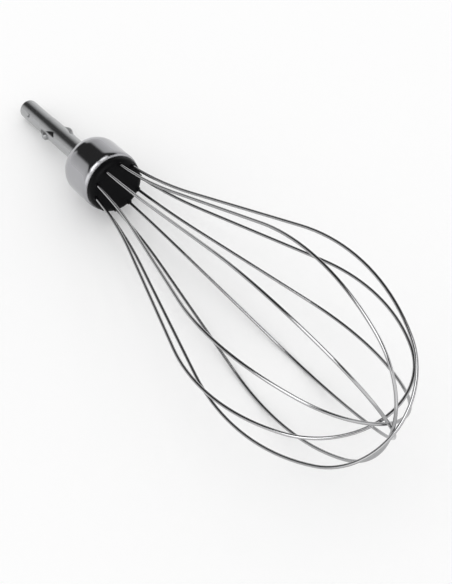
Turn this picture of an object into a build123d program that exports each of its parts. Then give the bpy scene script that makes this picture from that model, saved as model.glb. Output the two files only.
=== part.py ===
"""Whisk attachment for an immersion blender, lying on a table as it comes to rest.

Five wire loops share one axis. Their ends sit in a plastic hub, a drawn metal cup
covers the hub, and a round shaft with two pinched lugs leaves the back of the cup.
Sizes are in millimetres. Along the axis, zero is the rim of the cup, the wires are
on the positive side and the shaft is on the negative side.
"""

import os
from math import cos, radians, sin, sqrt

from build123d import *

# Drive shaft
shaft_diameter = 7.9
shaft_exposed = 43.8
drive_diameter = 7.5
drive_length = 16.5
tip_round = 1.2
key_diameter = 7.0
key_flats = 6.0
key_length = 12.0
dimple_diameter = 2.2
dimple_depth = 0.5
dimple_from_tip = 7.1
dimple_angle = 239.0

# Pinched lugs of the shaft, one on each side, and the punch marks beside them
lug_angle = 90.0
lug_from_tip = 16.9
lug_stagger = 5.2
lug_length = 5.6
lug_height = 1.0
lug_thickness = 2.2
lug_crest = 1.8
lug_step = 0.9
lug_root = 1.5
mark_turn = 75.0
mark_from_lug = 3.7
mark_length = 6.6
mark_peak = 5.0
mark_base = 2.9
mark_point = 1.0
mark_depth = 1.2

# Drawn cup over the hub
cup_diameter = 23.0
cup_length = 19.9
cup_wall = 0.8
cup_back_land = 0.4
cup_curl_length = 2.6
cup_curl_drop = 0.45
cup_lip_round = 0.25

# Hub that holds the wires
hub_front = 3.6
hub_edge_round = 2.6
collar_diameter = 1.9
collar_rise = 0.9
collar_root = 2.4

# Wire loops
wire_diameter = 1.1
wire_embed = 10.0
loop_count = 5
exit_radius = 9.15
exit_height = 2.7
exit_angle = 5.3
flare_radius = 161.0
side_angle = 16.9
belly_end_angle = 28.7
cage_radius = 32.5
outer_reach = 150.4
inner_drop = 1.0
inner_turn = -2.0
nest_clearance = 0.05
nest_levels = (2, 3, 4, 0, 1)

# Clearances between pieces that seat in each other
fit = 0.02
end_gap = 0.05

shaft_radius = shaft_diameter / 2
drive_radius = drive_diameter / 2
cup_radius = cup_diameter / 2
hub_radius = cup_radius - cup_wall - fit
wire_radius = wire_diameter / 2
cup_bore_radius = shaft_radius + fit
cup_round = cup_radius - shaft_radius - cup_back_land
tip_height = -(cup_length + shaft_exposed)
drive_end = tip_height + drive_length
hub_back = cup_round - cup_length
loop_step = 180 / loop_count
first_loop_angle = loop_step / 2

# Nested reach: each loop passes just inside the one before, and the last sits further in and a little turned.
nest_step = wire_diameter + nest_clearance
last_level = loop_count - 1
loop_angles = [
    first_loop_angle + loop_step * number + (inner_turn if level == last_level else 0)
    for number, level in enumerate(nest_levels)
]
reaches = [
    outer_reach - nest_step * level - (inner_drop if level == last_level else 0) for level in nest_levels
]

sin_exit, cos_exit = sin(radians(exit_angle)), cos(radians(exit_angle))
sin_side, cos_side = sin(radians(side_angle)), cos(radians(side_angle))
sin_end, cos_end = sin(radians(belly_end_angle)), cos(radians(belly_end_angle))
flare_height = exit_height + flare_radius * (sin_side - sin_exit)
flare_out = exit_radius + flare_radius * (cos_exit - cos_side)


def loop_shape(reach):
    """Straight run and belly radius that bring a loop to the cage radius and to its reach."""
    cap = (1 - sin_end) / cos_end
    out_left = cage_radius - flare_out
    up_left = reach - flare_height - cage_radius * cap
    belly_out = 1 - cos_side
    belly_up = sin_side + sin_end - (1 - cos_end) * cap
    scale = sin_side * belly_up - cos_side * belly_out
    straight_run = (out_left * belly_up - up_left * belly_out) / scale
    belly_radius = (up_left * sin_side - out_left * cos_side) / scale
    return straight_run, belly_radius


def end_arc(reach):
    """Height of the centre and radius of the arc that closes a loop over the axis."""
    straight_run, belly_radius = loop_shape(reach)
    end_radius = (cage_radius - belly_radius * (1 - cos_end)) / cos_end
    return reach - end_radius, end_radius


def depth_of_belly(pitch, angle, reach):
    """How far a loop's belly reaches below the rim centre when the axis rises by the pitch."""
    straight_run, belly_radius = loop_shape(reach)
    belly_height = flare_height + straight_run * cos_side + belly_radius * sin_side
    across = cos(pitch) * cos(radians(angle))
    centre = (cage_radius - belly_radius) * across - belly_height * sin(pitch)
    return centre + belly_radius * sqrt(sin(pitch) ** 2 + across**2) + wire_radius


def depth_of_tip(pitch):
    """How far the rounded end of the shaft reaches below the rim centre."""
    round_height = tip_height + tip_round
    return (drive_radius - tip_round) * cos(pitch) - round_height * sin(pitch) + tip_round


# The whisk lies on its two lowest wires and on the end of the shaft.
low_loops = [(first_loop_angle, reaches[0]), (first_loop_angle, reaches[-1])]
pitch_low, pitch_high = 0.0, radians(45)
for _ in range(50):
    pitch = (pitch_low + pitch_high) / 2
    if max(depth_of_belly(pitch, *loop) for loop in low_loops) > depth_of_tip(pitch):
        pitch_low = pitch
    else:
        pitch_high = pitch


def front_of_loop(angle, reach):
    """How far a loop reaches forward of the rim centre along the table."""
    end_height, end_radius = end_arc(reach)
    spread = sqrt(cos(pitch) ** 2 + (sin(pitch) * cos(radians(angle))) ** 2)
    return end_height * cos(pitch) + end_radius * spread + wire_radius


front = max(front_of_loop(*loop) for loop in zip(loop_angles, reaches))
back = (tip_height + tip_round) * cos(pitch) - (drive_radius - tip_round) * sin(pitch) - tip_round
rim_centre = Vector(-(front + back) / 2, 0, depth_of_tip(pitch))
axis_dir = Vector(cos(pitch), 0, sin(pitch))
down_dir = Vector(sin(pitch), 0, -cos(pitch))
whisk_axis = Axis(rim_centre, axis_dir)


def meridian(angle):
    """Plane through the axis: x points outward at the angle from below, y along the axis."""
    outward = down_dir.rotate(Axis((0, 0, 0), axis_dir), angle)
    return Plane(rim_centre, x_dir=outward, z_dir=outward.cross(axis_dir))


def cross_plane(height):
    """Plane square to the axis, with y pointing outward along the lugs."""
    outward = meridian(lug_angle).x_dir
    return Plane(rim_centre + axis_dir * height, x_dir=outward.cross(axis_dir), z_dir=axis_dir)


def wire_plane(angle, height):
    """Plane square to a wire end, at a height along it from where it leaves the hub."""
    side = meridian(angle)
    start = side.from_local_coords((exit_radius, exit_height))
    along = side.x_dir * sin_exit + side.y_dir * cos_exit
    return Plane(start + along * height, z_dir=along)


def key_outline(clearance):
    """Round section with two flats, for the inner end of the shaft and its bore."""
    Circle(key_diameter / 2 + clearance)
    Rectangle(2 * key_diameter, key_flats + 2 * clearance, mode=Mode.INTERSECT)


os.makedirs("parts", exist_ok=True)

with BuildPart() as drive_shaft:
    with BuildSketch(meridian(lug_angle)) as rod:
        with BuildLine():
            Polyline(
                (0, tip_height),
                (drive_radius, tip_height),
                (drive_radius, drive_end),
                (shaft_radius, drive_end + shaft_radius - drive_radius),
                (shaft_radius, hub_back - fit),
                (0, hub_back - fit),
                close=True,
            )
        make_face()
        fillet(rod.vertices().group_by(Axis.Y)[0].sort_by(Axis.X)[-1], tip_round)
    revolve(axis=whisk_axis)
    with BuildSketch(cross_plane(hub_back - fit)):
        key_outline(0)
    extrude(amount=key_length)
    for side, stagger in ((0, lug_stagger), (180, 0)):
        lug_start = tip_height + lug_from_tip + stagger
        lug_end = lug_start + lug_length
        with BuildSketch(meridian(lug_angle + side)):
            with BuildLine():
                Polyline(
                    (shaft_radius - lug_root, lug_start),
                    (shaft_radius - lug_height / 2, lug_start),
                    (shaft_radius + lug_height, lug_end - lug_step - lug_crest),
                    (shaft_radius + lug_height, lug_end - lug_step),
                    (shaft_radius - lug_height / 2, lug_end),
                    (shaft_radius - lug_root, lug_end),
                    close=True,
                )
            make_face()
        extrude(amount=lug_thickness / 2, both=True)
        # The punch leaves a triangular mark on each flank of the lug, deepest at its point.
        for flank in (-1, 1):
            mark = meridian(lug_angle + side + flank * mark_turn)
            floor = mark.from_local_coords((shaft_radius - mark_depth, lug_start + mark_from_lug))
            with BuildSketch(Plane(floor, x_dir=axis_dir, z_dir=mark.x_dir)):
                with BuildLine():
                    Polyline(
                        (0, flank * mark_base),
                        (mark_length, flank * mark_base),
                        (mark_peak, flank * mark_point),
                        close=True,
                    )
                make_face()
            extrude(amount=mark_depth + lug_height, mode=Mode.SUBTRACT)
    dimple_ball = (dimple_diameter**2 / 4 + dimple_depth**2) / (2 * dimple_depth)
    dimple_out = drive_radius - dimple_depth + dimple_ball
    with Locations(meridian(dimple_angle).from_local_coords((dimple_out, tip_height + dimple_from_tip))):
        Sphere(dimple_ball, mode=Mode.SUBTRACT)
drive_shaft.part.label = "drive_shaft"
export_step(drive_shaft.part, "parts/drive_shaft.step")

with BuildPart() as ferrule:
    with BuildSketch(meridian(0)) as wall:
        with BuildLine():
            back_face = Line((cup_bore_radius, -cup_length), (cup_radius - cup_round, -cup_length))
            shoulder = JernArc(back_face @ 1, back_face % 1, cup_round, 90)
            barrel = Line(shoulder @ 1, (cup_radius, -cup_curl_length))
            curl = TangentArc(barrel @ 1, (cup_radius - cup_curl_drop, 0), tangent=barrel % 1)
            Polyline(curl @ 1, (cup_bore_radius, 0), back_face @ 0)
        make_face()
        fillet(wall.vertices().group_by(Axis.Y)[-1].sort_by(Axis.X)[-1], cup_lip_round)
    revolve(axis=whisk_axis)
    with BuildSketch(meridian(0)) as hollow:
        with Locations((0, cup_wall - cup_length)):
            Rectangle(cup_radius - cup_wall, cup_length, align=(Align.MIN, Align.MIN))
        fillet(hollow.vertices().group_by(Axis.Y)[0].sort_by(Axis.X)[-1], cup_round - cup_wall)
    revolve(axis=whisk_axis, mode=Mode.SUBTRACT)
ferrule.part.label = "ferrule"
export_step(ferrule.part, "parts/ferrule.step")

wire_ends = [angle + turn for angle in loop_angles for turn in (0, 180)]

with BuildPart() as hub:
    with BuildSketch(meridian(0)) as plug:
        with Locations((0, hub_back)):
            Rectangle(hub_radius, hub_front - hub_back, align=(Align.MIN, Align.MIN))
        fillet(plug.vertices().group_by(Axis.Y)[-1].sort_by(Axis.X)[-1], hub_edge_round)
    revolve(axis=whisk_axis)
    with BuildSketch(*[wire_plane(angle, -collar_root) for angle in wire_ends]):
        Circle(collar_diameter / 2)
    extrude(amount=collar_root + collar_rise)
    with BuildSketch(*[wire_plane(angle, -wire_embed - end_gap) for angle in wire_ends]):
        Circle(wire_radius + fit)
    extrude(amount=wire_embed + end_gap + 2 * collar_rise, mode=Mode.SUBTRACT)
    with BuildSketch(cross_plane(hub_back)):
        key_outline(fit)
    extrude(amount=key_length + end_gap, mode=Mode.SUBTRACT)
hub.part.label = "hub"
export_step(hub.part, "parts/hub.step")

for number, (angle, reach) in enumerate(zip(loop_angles, reaches), start=1):
    straight_run, belly_radius = loop_shape(reach)
    end_height, end_radius = end_arc(reach)
    flare_turn = side_angle - exit_angle
    belly_turn = side_angle + belly_end_angle
    with BuildPart() as wire_loop:
        with BuildLine(meridian(angle)) as centre_line:
            tail = Line(
                (exit_radius - wire_embed * sin_exit, exit_height - wire_embed * cos_exit),
                (exit_radius, exit_height),
            )
            flare = JernArc(tail @ 1, tail % 1, flare_radius, -flare_turn)
            side = PolarLine(flare @ 1, straight_run, direction=flare % 1)
            belly = JernArc(side @ 1, side % 1, belly_radius, belly_turn)
            cap = JernArc(belly @ 1, belly % 1, end_radius, 180 - 2 * belly_end_angle)
            far_belly = JernArc(cap @ 1, cap % 1, belly_radius, belly_turn)
            far_side = PolarLine(far_belly @ 1, straight_run, direction=far_belly % 1)
            far_flare = JernArc(far_side @ 1, far_side % 1, flare_radius, -flare_turn)
            Line(far_flare @ 1, far_flare @ 1 + (far_flare % 1) * wire_embed)
        with BuildSketch(Plane(centre_line.line @ 0, z_dir=centre_line.line % 0)):
            Circle(wire_radius)
        sweep(path=centre_line.line)
    wire_loop.part.label = f"wire_loop_{number}"
    export_step(wire_loop.part, f"parts/wire_loop_{number}.step")
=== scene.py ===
"""Looks of the whisk attachment: finishes, a pale table, a studio and the camera.

Lengths are in metres and angles in degrees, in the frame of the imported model: the whisk lies
along +X on the table at Z = 0, with the end of its shaft at -X and the closed end of the wires
at +X. Polished metal looks like what it reflects, so the studio gives the metals most of their look.
"""

from math import cos, radians, sin

import bpy
from mathutils import Matrix, Vector

# Camera, fitted to the photograph. Its azimuth turns the view from +Y towards +X.
IMAGE_HEIGHT_MM = 36.0
LENS_MM = 71.74
CAMERA_AZIMUTH = -54.40
CAMERA_ELEVATION = 53.65
CAMERA_ROLL = 1.84
CAMERA_DISTANCE = 0.3782
CAMERA_NEAREST = 0.01
TARGET = Vector((0.02757, -0.00177, 0.025))
UP = Vector((0.0, 0.0, 1.0))

# Table
TABLE_SIZE = 6.0
TABLE_COLOUR = (0.985, 0.985, 0.985, 1.0)
TABLE_ROUGHNESS = 0.9

# Even light on everything, and the level of the dark parts of the studio in the reflections
EVEN_LEVEL = 1.0
WHITE = (1.0, 1.0, 1.0, 1.0)
DARK_LEVEL = 0.04

# Walls in the reflections. They fade from the first level, at the table, to the second, where the
# sine of the elevation is WALL_FADE. Their top edge slopes up towards +X, and they are lighter there.
WALL_LEVELS = (0.95, 0.62)
WALL_FADE = 0.36
WALL_TOP = 33.0
WALL_TOP_SLOPE = 0.16
WALL_EDGE = 3.0
FRONT_WALL_LIFT = 0.9

# Dark doorway in the walls, at -X
DOOR_HALF_ANGLE = 14.0
DOOR_BOTTOM = 6.0
DOOR_EDGE = 3.0

# Lights in the reflections. Azimuths turn from +X towards +Y, and elevations rise from the table.
SOFTBOX = {"azimuth": -78.0, "elevation": 64.0, "half_angle": 20.0, "edge": 2.0, "level": 4.0}
GLOW = {"azimuth": -80.0, "elevation": 30.0, "half_angle": 22.0, "edge": 11.0, "level": 1.0}
OVERHEAD = {"azimuth": 90.0, "elevation": 79.0, "half_angle": 16.0, "edge": 4.0, "level": 3.0}

# Metals. The edge values are the radii over which edges are softened.
SHAFT_FINISH = {
    "colour": (0.40, 0.405, 0.41),
    "roughness": (0.20, 0.28),
    "grain_scale": 900.0,
    "grain_strength": 0.25,
    "edge": 0.0001,
    "lug_edge": 0.0020,
}
CUP_FINISH = {
    "colour": (0.40, 0.40, 0.415),
    "roughness": (0.05, 0.10),
    "grain_scale": 500.0,
    "grain_strength": 0.08,
    "edge": 0.0026,
    "lug_edge": 0.0026,
}
WIRE_FINISH = {
    "colour": (0.37, 0.37, 0.375),
    "roughness": (0.08, 0.14),
    "grain_scale": 1200.0,
    "grain_strength": 0.15,
    "edge": 0.0001,
    "lug_edge": 0.0001,
}
HAZE_SCALE = 110.0
HAZE_DETAIL = 3.0
HAZE_TINTS = (0.93, 1.07)
GRAIN_STRETCH = (0.05, 1.0, 1.0)
GRAIN_DETAIL = 4.0
GRAIN_HEIGHT = 0.00002
# Painted shade: metal colours are darkened in pockets and corners, by ambient occlusion within this
# reach.
PAINTED_SHADE_REACH = 0.0015
PAINTED_SHADE_POWER = 2.5
PAINTED_SHADE_SAMPLES = 8
LUG_SIDE = (0.0030, 0.0036)
EDGE_SAMPLES = 16

# Black plastic of the hub
HUB_COLOUR = (0.0025, 0.0025, 0.003)
HUB_ROUGHNESS = (0.38, 0.5)
HUB_SPECULAR = 0.06
CLOUD_SCALE = 160.0
CLOUD_DETAIL = 3.0
CLOUD_TINTS = (0.8, 1.3)
TEXTURE_SCALE = 3500.0
TEXTURE_DETAIL = 2.0
TEXTURE_STRENGTH = 0.25
TEXTURE_HEIGHT = 0.00003

# Range of a noise or a share, and the angle whose sine is 1
UNIT = (0.0, 1.0)
RIGHT_ANGLE = 90.0


def new_material(name):
    """A new material, its node tree and its principled shader."""
    material = bpy.data.materials.new(name)
    material.use_nodes = True
    tree = material.node_tree
    return material, tree, tree.nodes["Principled BSDF"]


def add(tree, kind, **values):
    """A new node of that kind, with its named sockets or properties set."""
    node = tree.nodes.new(kind)
    for key, value in values.items():
        if key in node.inputs:
            node.inputs[key].default_value = value
        else:
            setattr(node, key, value)
    return node


def combine(tree, operation, first, second):
    """One number from two sockets, or from a socket and a constant, by a math operation."""
    maths = add(tree, "ShaderNodeMath", operation=operation)
    tree.links.new(first, maths.inputs[0])
    if isinstance(second, float):
        maths.inputs[1].default_value = second
    else:
        tree.links.new(second, maths.inputs[1])
    return maths.outputs["Value"]


def unsigned(tree, source):
    """The number in a socket without its sign."""
    maths = add(tree, "ShaderNodeMath", operation="ABSOLUTE")
    tree.links.new(source, maths.inputs[0])
    return maths.outputs["Value"]


def split(tree, vector):
    """The X, Y and Z of a vector socket."""
    parts = add(tree, "ShaderNodeSeparateXYZ")
    tree.links.new(vector, parts.inputs["Vector"])
    return parts.outputs["X"], parts.outputs["Y"], parts.outputs["Z"]


def remap(tree, source, span, levels, curve="LINEAR"):
    """A number that goes from the first level to the second as the source goes over the span."""
    ends = {"From Min": span[0], "From Max": span[1], "To Min": levels[0], "To Max": levels[1]}
    spread = add(tree, "ShaderNodeMapRange", interpolation_type=curve, **ends)
    tree.links.new(source, spread.inputs["Value"])
    return spread.outputs["Result"]


def noise(tree, place, scale, detail):
    """A noise over the places in a vector socket."""
    texture = add(tree, "ShaderNodeTexNoise", Scale=scale, Detail=detail)
    tree.links.new(place, texture.inputs["Vector"])
    return texture.outputs["Fac"]


def tinted(tree, source, colour, tints):
    """The colour times the first tint where the source is 0, and times the second where it is 1."""
    ramp = add(tree, "ShaderNodeValToRGB")
    for element, tint in zip(ramp.color_ramp.elements, tints):
        element.color = (*(channel * tint for channel in colour), 1.0)
    tree.links.new(source, ramp.inputs["Fac"])
    return ramp.outputs["Color"]


def bump(tree, height, strength, distance):
    """A bump node for the heights in a socket."""
    relief = add(tree, "ShaderNodeBump", Strength=strength, Distance=distance)
    tree.links.new(height, relief.inputs["Height"])
    return relief


def paint_recess_shade(tree, colour):
    """The colour in a socket with painted shade: darker in pockets and corners, by ambient occlusion.
    """
    occlusion = add(tree, "ShaderNodeAmbientOcclusion", Distance=PAINTED_SHADE_REACH, samples=PAINTED_SHADE_SAMPLES)
    occlusion.only_local = True
    shaded = add(tree, "ShaderNodeVectorMath", operation="SCALE")
    tree.links.new(colour, shaded.inputs[0])
    share = combine(tree, "POWER", occlusion.outputs["AO"], PAINTED_SHADE_POWER)
    tree.links.new(share, shaded.inputs["Scale"])
    return shaded.outputs["Vector"]


def metal(name, colour, roughness, grain_scale, grain_strength, edge, lug_edge):
    """Polished steel with faint blotches, fine grain along X, painted shade in recesses and softened
    edges.

    The radius of the softened edges goes from edge to lug_edge over LUG_SIDE, on both sides of Y = 0.
    """
    material, tree, shader = new_material(name)
    place = add(tree, "ShaderNodeTexCoord").outputs["Object"]
    haze = noise(tree, place, HAZE_SCALE, HAZE_DETAIL)
    # Painted shade: the steel colour is darkened in recesses.
    steel = paint_recess_shade(tree, tinted(tree, haze, colour, HAZE_TINTS))
    tree.links.new(steel, shader.inputs["Base Color"])
    tree.links.new(remap(tree, haze, UNIT, roughness), shader.inputs["Roughness"])
    shader.inputs["Metallic"].default_value = 1.0

    stretch = add(tree, "ShaderNodeMapping", Scale=GRAIN_STRETCH)
    tree.links.new(place, stretch.inputs["Vector"])
    grain = noise(tree, stretch.outputs["Vector"], grain_scale, GRAIN_DETAIL)
    relief = bump(tree, grain, grain_strength, GRAIN_HEIGHT)

    side = split(tree, place)[1]
    radius = remap(tree, unsigned(tree, side), LUG_SIDE, (edge, lug_edge))
    softened = add(tree, "ShaderNodeBevel", samples=EDGE_SAMPLES)
    tree.links.new(radius, softened.inputs["Radius"])
    tree.links.new(softened.outputs["Normal"], relief.inputs["Normal"])
    tree.links.new(relief.outputs["Normal"], shader.inputs["Normal"])
    return material


def moulded(name):
    """Black moulded plastic with faint clouds and a fine spark-eroded texture."""
    material, tree, shader = new_material(name)
    place = add(tree, "ShaderNodeTexCoord").outputs["Object"]
    cloud = noise(tree, place, CLOUD_SCALE, CLOUD_DETAIL)
    tree.links.new(tinted(tree, cloud, HUB_COLOUR, CLOUD_TINTS), shader.inputs["Base Color"])
    tree.links.new(remap(tree, cloud, UNIT, HUB_ROUGHNESS), shader.inputs["Roughness"])
    shader.inputs["Specular IOR Level"].default_value = HUB_SPECULAR

    texture = noise(tree, place, TEXTURE_SCALE, TEXTURE_DETAIL)
    relief = bump(tree, texture, TEXTURE_STRENGTH, TEXTURE_HEIGHT)
    tree.links.new(relief.outputs["Normal"], shader.inputs["Normal"])
    return material


def dress(node, material):
    """Give an object its finish."""
    node.data.materials.clear()
    node.data.materials.append(material)


def make_table():
    """A pale table top that keeps the whisk's shadow."""
    bpy.ops.mesh.primitive_plane_add(size=TABLE_SIZE, location=(0, 0, 0))
    table = bpy.context.object
    table.name = "table"
    material, _, shader = new_material("pale table")
    shader.inputs["Base Color"].default_value = TABLE_COLOUR
    shader.inputs["Roughness"].default_value = TABLE_ROUGHNESS
    shader.inputs["Specular IOR Level"].default_value = 0.0
    dress(table, material)


def soft_step(tree, sine, start, end):
    """A number that goes from 0 to 1 as the angle with that sine goes from start to end."""
    span = (sin(radians(start)), sin(radians(end)))
    return remap(tree, sine, span, UNIT, "SMOOTHSTEP")


def walls(tree, direction):
    """The level of the walls in each direction: 0 in the doorway and above their top edge."""
    ahead, side, height = split(tree, direction)
    sloped = combine(tree, "SUBTRACT", height, combine(tree, "MULTIPLY", ahead, WALL_TOP_SLOPE))
    under_top = soft_step(tree, sloped, WALL_TOP + WALL_EDGE, WALL_TOP - WALL_EDGE)

    across = unsigned(tree, side)
    beside_door = soft_step(tree, across, DOOR_HALF_ANGLE - DOOR_EDGE, DOOR_HALF_ANGLE + DOOR_EDGE)
    front_half = soft_step(tree, ahead, -DOOR_EDGE, DOOR_EDGE)
    below_door = soft_step(tree, height, DOOR_BOTTOM + DOOR_EDGE, DOOR_BOTTOM - DOOR_EDGE)
    closed = combine(tree, "MAXIMUM", combine(tree, "MAXIMUM", beside_door, front_half), below_door)

    fade = remap(tree, height, (0.0, WALL_FADE), WALL_LEVELS)
    lift = combine(tree, "MULTIPLY", combine(tree, "MAXIMUM", ahead, 0.0), FRONT_WALL_LIFT)
    level = combine(tree, "ADD", fade, lift)
    return combine(tree, "MULTIPLY", combine(tree, "MULTIPLY", under_top, closed), level)


def round_light(tree, direction, azimuth, elevation, half_angle, edge, level):
    """A round light: its level round that direction, and 0 outside its soft edge."""
    turn = radians(azimuth)
    rise = radians(elevation)
    facing = add(tree, "ShaderNodeVectorMath", operation="DOT_PRODUCT")
    tree.links.new(direction, facing.inputs[0])
    facing.inputs[1].default_value = (cos(turn) * cos(rise), sin(turn) * cos(rise), sin(rise))
    outer = RIGHT_ANGLE - half_angle - edge
    inner = RIGHT_ANGLE - half_angle + edge
    return combine(tree, "MULTIPLY", soft_step(tree, facing.outputs["Value"], outer, inner), level)


def make_studio():
    """An even white light, with walls and lights in its place where surfaces reflect it."""
    world = bpy.data.worlds.new("studio")
    bpy.context.scene.world = world
    world.use_nodes = True
    tree = world.node_tree
    direction = add(tree, "ShaderNodeTexCoord").outputs["Generated"]
    reflected = combine(tree, "ADD", walls(tree, direction), DARK_LEVEL)
    for light in (SOFTBOX, GLOW, OVERHEAD):
        reflected = combine(tree, "ADD", reflected, round_light(tree, direction, **light))

    strength = add(tree, "ShaderNodeMix", A=EVEN_LEVEL)
    tree.links.new(add(tree, "ShaderNodeLightPath").outputs["Is Glossy Ray"], strength.inputs["Factor"])
    tree.links.new(reflected, strength.inputs["B"])
    background = tree.nodes["Background"]
    background.inputs["Color"].default_value = WHITE
    tree.links.new(strength.outputs["Result"], background.inputs["Strength"])


def make_camera():
    """The photograph's view, from above and in front of the closed end."""
    camera = bpy.data.cameras.new("camera")
    camera.sensor_fit = "VERTICAL"
    camera.sensor_height = IMAGE_HEIGHT_MM
    camera.lens = LENS_MM
    camera.clip_start = CAMERA_NEAREST
    holder = bpy.data.objects.new("camera", camera)
    bpy.context.scene.collection.objects.link(holder)
    azimuth = radians(CAMERA_AZIMUTH)
    elevation = radians(CAMERA_ELEVATION)
    forward = Vector((sin(azimuth) * cos(elevation), cos(azimuth) * cos(elevation), -sin(elevation)))
    level_right = forward.cross(UP).normalized()
    right = Matrix.Rotation(radians(CAMERA_ROLL), 3, forward) @ level_right
    turn = Matrix((right, right.cross(forward), -forward)).transposed()
    holder.matrix_world = Matrix.Translation(TARGET - forward * CAMERA_DISTANCE) @ turn.to_4x4()
    bpy.context.scene.camera = holder


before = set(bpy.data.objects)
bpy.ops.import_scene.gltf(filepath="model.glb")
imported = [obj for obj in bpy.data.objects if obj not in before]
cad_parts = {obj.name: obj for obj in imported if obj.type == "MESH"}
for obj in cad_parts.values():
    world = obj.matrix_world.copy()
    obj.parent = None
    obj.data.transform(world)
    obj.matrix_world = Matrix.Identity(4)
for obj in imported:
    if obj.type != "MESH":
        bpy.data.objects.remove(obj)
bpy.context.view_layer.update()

wire_steel = metal("wire steel", **WIRE_FINISH)
finishes = {
    "drive_shaft": metal("shaft steel", **SHAFT_FINISH),
    "ferrule": metal("cup chrome", **CUP_FINISH),
    "hub": moulded("hub plastic"),
}
for name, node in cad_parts.items():
    dress(node, finishes.get(name, wire_steel))

make_table()
make_studio()
make_camera()
bpy.context.scene.view_settings.view_transform = "Standard"
